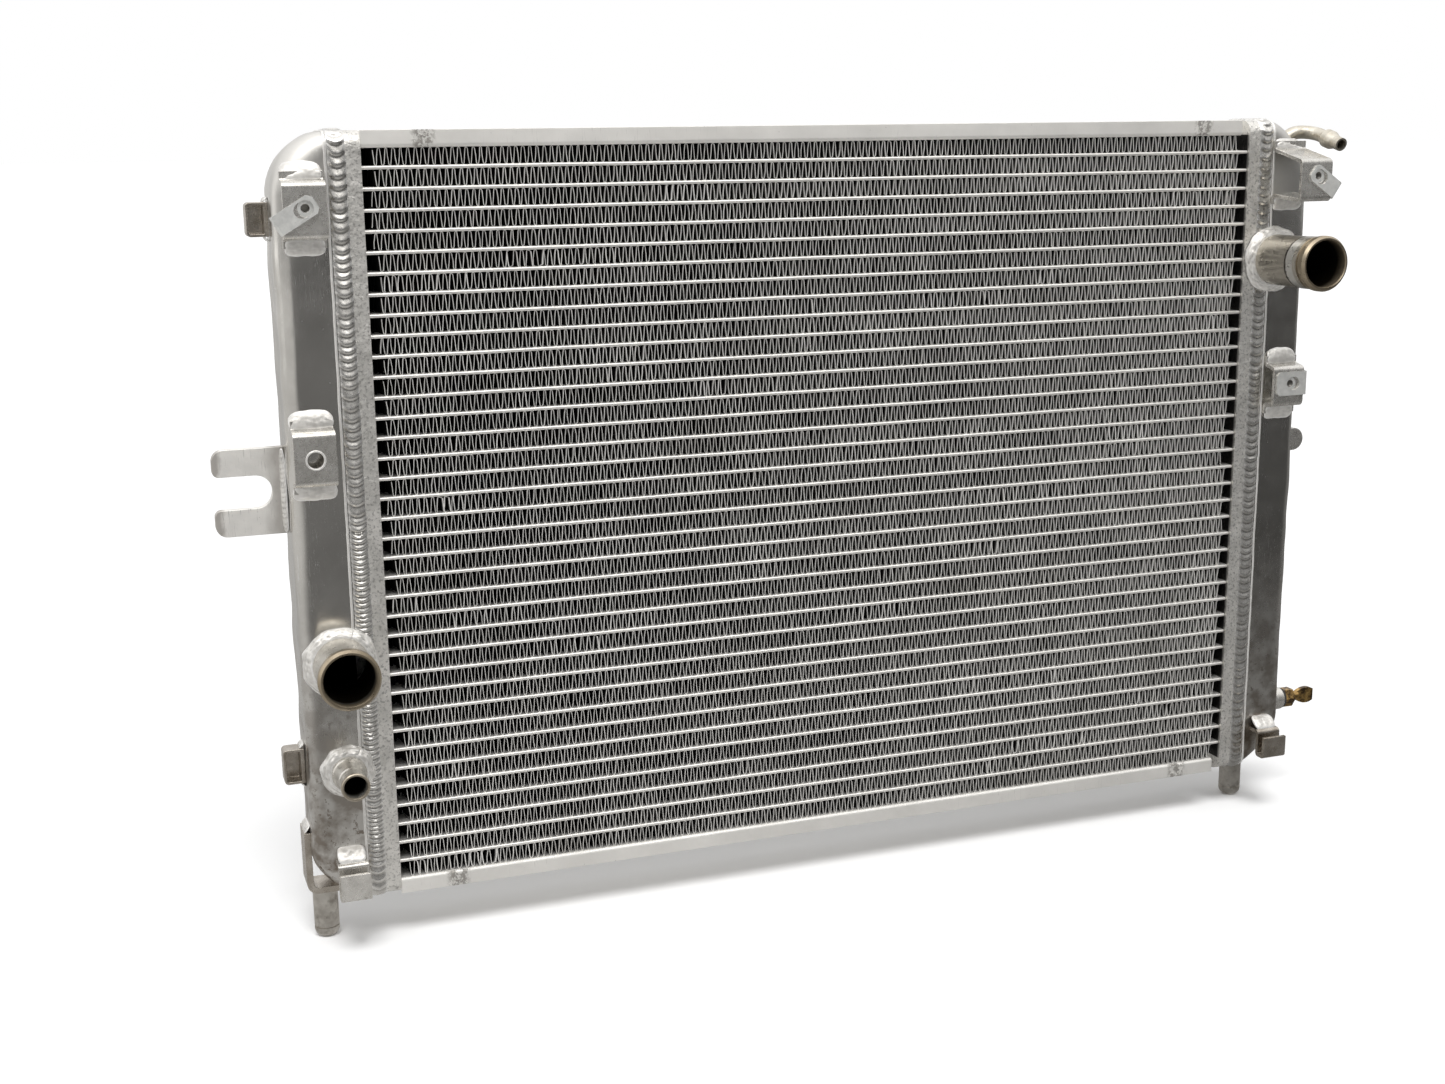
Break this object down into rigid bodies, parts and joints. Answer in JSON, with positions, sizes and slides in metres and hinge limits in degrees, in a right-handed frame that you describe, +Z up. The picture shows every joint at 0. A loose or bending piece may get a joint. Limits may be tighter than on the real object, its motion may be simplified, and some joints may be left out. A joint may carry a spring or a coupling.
{
  "type": "car radiator",
  "caption": "Welded aluminium crossflow car radiator with finned core, end tanks, hose necks, mounting brackets, locating pins, clip nuts and a drain tap.",
  "frame": {"origin": "on the floor under the middle of the footprint, level with the feet of the locating pins", "axes": "+X along the core's width towards the inlet tank, +Y from the hose side to the back, +Z up"},
  "size_m": [0.7826, 0.1056, 0.4926],
  "materials": {
    "tube_aluminium": "satin, brazed",
    "fin_aluminium": "bright rolled foil",
    "plate_aluminium": "satin mill finish",
    "header_aluminium": "bead blasted, slightly textured",
    "tank_aluminium": "brushed and polished",
    "weld_metal": "rippled weld bead",
    "neck_aluminium": "machined, lightly tarnished",
    "bracket_aluminium": "brushed sheet",
    "pin_aluminium": "turned",
    "clip_zinc": "zinc plated spring steel",
    "tap_brass": "aged brass",
    "seal_rubber": "matt"
  },
  "bodies": {
    "radiator": {"cooling_tubes": "tube_aluminium", "fin_strips": "fin_aluminium", "top_side_plate": "plate_aluminium", "bottom_side_plate": "plate_aluminium", "left_header_plate": "header_aluminium", "right_header_plate": "header_aluminium", "left_end_tank": "tank_aluminium", "right_end_tank": "tank_aluminium", "left_tank_weld": "weld_metal", "right_tank_weld": "weld_metal", "outlet_neck": "neck_aluminium", "inlet_neck": "neck_aluminium", "bypass_neck": "neck_aluminium", "outlet_neck_weld": "weld_metal", "inlet_neck_weld": "weld_metal", "bypass_neck_weld": "weld_metal", "upper_left_bracket": "bracket_aluminium", "middle_left_bracket": "bracket_aluminium", "middle_right_bracket": "bracket_aluminium", "upper_right_bracket": "bracket_aluminium", "bracket_welds": "weld_metal", "left_lower_hook": "bracket_aluminium", "right_lower_hook": "bracket_aluminium", "hook_welds": "weld_metal", "fork_bracket": "bracket_aluminium", "upper_left_tab": "bracket_aluminium", "lower_left_tab": "bracket_aluminium", "right_side_lug": "bracket_aluminium", "left_pin_strap": "bracket_aluminium", "left_locating_pin": "pin_aluminium", "right_locating_pin": "pin_aluminium", "side_welds": "weld_metal", "overflow_tube": "neck_aluminium", "drain_bung": "pin_aluminium", "drain_washer": "seal_rubber", "drain_body": "tap_brass"},
    "upper_left_clip": {"upper_left_clip_nut": "clip_zinc"},
    "upper_right_clip": {"upper_right_clip_nut": "clip_zinc"},
    "middle_right_clip": {"middle_right_clip_nut": "clip_zinc"},
    "drain_seal_carrier": {"drain_seal": "seal_rubber"},
    "drain_screw": {"drain_stem": "tap_brass"}
  },
  "joints": [
    {"name": "upper_left_clip_turn", "type": "hinge", "parent": "radiator", "child": "upper_left_clip", "pos_m": [-0.33245, -0.0068, 0.4487], "axis": [0, 1, 0], "range_deg": [0, 54]},
    {"name": "middle_right_clip_turn", "type": "hinge", "parent": "radiator", "child": "middle_right_clip", "pos_m": [0.33235, -0.0068, 0.3123], "axis": [0, 1, 0], "range_deg": [-3, 3]},
    {"name": "upper_right_clip_turn", "type": "hinge", "parent": "radiator", "child": "upper_right_clip", "pos_m": [0.33065, -0.0268, 0.4541], "axis": [0, 1, 0], "range_deg": [-46, 0]},
    {"name": "drain_travel", "type": "slide", "parent": "radiator", "child": "drain_seal_carrier", "axis": [1, 0, 0], "range_m": [0, 0.003]},
    {"name": "drain_turn", "type": "hinge", "parent": "drain_seal_carrier", "child": "drain_screw", "pos_m": [0.37175, 0.0252, 0.071], "axis": [1, 0, 0], "range_deg": [0, 720]}
  ],
  "couplings": [
    {"joint": "drain_turn", "follows": "drain_travel", "rad_per_m": 4188.8}
  ]
}
